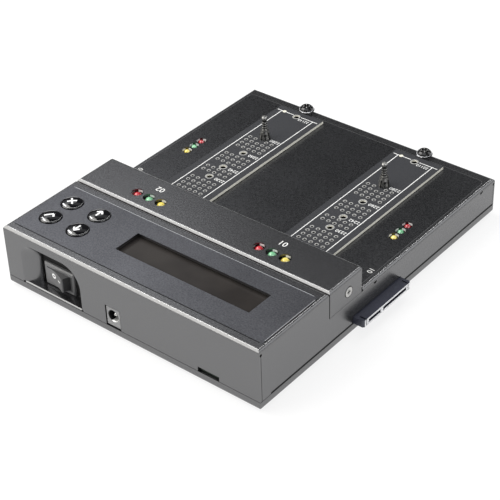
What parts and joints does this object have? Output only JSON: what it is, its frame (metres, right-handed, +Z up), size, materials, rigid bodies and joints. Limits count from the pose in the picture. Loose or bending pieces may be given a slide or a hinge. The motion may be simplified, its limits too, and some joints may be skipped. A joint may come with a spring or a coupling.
{
  "type": "drive duplicator",
  "caption": "Stand-alone drive duplicator: folded metal case with raised control panel, display, keys, power rocker, M.2 card decks and side SATA receptacles.",
  "frame": {"origin": "middle of the footprint, on the plane the feet stand on", "axes": "+Z up; the user sits at -Y; the power wall faces +Y; the source side is -X and the target side +X"},
  "size_m": [0.1844, 0.2096, 0.0403],
  "materials": {
    "case_paint": "satin",
    "rubber": "matte",
    "screw_black": "gloss",
    "steel": "satin",
    "overlay": "satin",
    "circuit_board": "satin",
    "insulator": "matte",
    "connector_plastic": "satin",
    "contact_gold": "satin",
    "led_red": "gloss",
    "led_green": "gloss",
    "led_amber": "gloss",
    "key_gloss": "gloss",
    "display_glass": "gloss",
    "light_guide": "satin",
    "switch_plastic": "satin"
  },
  "bodies": {
    "casing": {"base_tray": "case_paint", "board_screws": "steel", "board_spacers": "steel", "bridge_cover": "case_paint", "bridge_led_boards": "circuit_board", "bridge_screws": "screw_black", "capacitors": "insulator", "card_socket": "steel", "cover_standoffs": "steel", "dc_jack": "case_paint", "dc_jack_pin": "steel", "deck_led_boards": "circuit_board", "end_screw_standoffs": "steel", "end_screws": "screw_black", "keypad_board": "circuit_board", "keypad_ribbon": "insulator", "keypad_spacers": "steel", "keypad_switches": "insulator", "lcd_board": "circuit_board", "lcd_frame": "steel", "lcd_glass": "display_glass", "lcd_light_guide": "light_guide", "lcd_ribbon": "insulator", "lcd_spacers": "steel", "led_leads": "insulator", "led_spacers": "steel", "leds_amber": "led_amber", "leds_green": "led_green", "leds_red": "led_red", "m2_board_source": "circuit_board", "m2_board_target": "circuit_board", "m2_link_source": "insulator", "m2_link_target": "insulator", "m2_pad_source": "insulator", "m2_pad_target": "insulator", "m2_socket_source": "connector_plastic", "m2_socket_target": "connector_plastic", "main_board": "circuit_board", "main_chips": "insulator", "panel_overlay": "overlay", "post_collet_source": "steel", "post_collet_target": "steel", "power_board": "circuit_board", "rubber_feet": "rubber", "sata_contacts_source": "contact_gold", "sata_contacts_target": "contact_gold", "sata_receptacle_source": "connector_plastic", "sata_receptacle_target": "connector_plastic", "switch_housing": "switch_plastic", "switch_leads": "insulator", "switch_terminals": "steel", "tray_screws": "steel", "upper_cover": "case_paint"},
    "rocker": {"switch_rocker": "switch_plastic"},
    "cancel_key": {"cancel_button": "key_gloss"},
    "confirm_key": {"confirm_button": "key_gloss"},
    "up_key": {"up_button": "key_gloss"},
    "down_key": {"down_button": "key_gloss"},
    "source_pin": {"post_pin_source": "steel"},
    "target_pin": {"post_pin_target": "steel"}
  },
  "joints": [
    {"name": "power_rocker", "type": "hinge", "parent": "casing", "child": "rocker", "pos_m": [0.053, 0.0957, 0.0141], "axis": [0, 0, 1], "range_deg": [0, 28]},
    {"name": "cancel_press", "type": "slide", "parent": "casing", "child": "cancel_key", "axis": [0, 0, 1], "range_m": [-0.0005, 0], "stiffness_N_per_m": 2500, "springref_m": 0.0002},
    {"name": "confirm_press", "type": "slide", "parent": "casing", "child": "confirm_key", "axis": [0, 0, 1], "range_m": [-0.0005, 0], "stiffness_N_per_m": 2500, "springref_m": 0.0002},
    {"name": "up_press", "type": "slide", "parent": "casing", "child": "up_key", "axis": [0, 0, 1], "range_m": [-0.0005, 0], "stiffness_N_per_m": 2500, "springref_m": 0.0002},
    {"name": "down_press", "type": "slide", "parent": "casing", "child": "down_key", "axis": [0, 0, 1], "range_m": [-0.0005, 0], "stiffness_N_per_m": 2500, "springref_m": 0.0002},
    {"name": "source_post_push", "type": "slide", "parent": "casing", "child": "source_pin", "axis": [0, 0, 1], "range_m": [-0.0028, 0]},
    {"name": "target_post_push", "type": "slide", "parent": "casing", "child": "target_pin", "axis": [0, 0, 1], "range_m": [-0.0028, 0]}
  ]
}
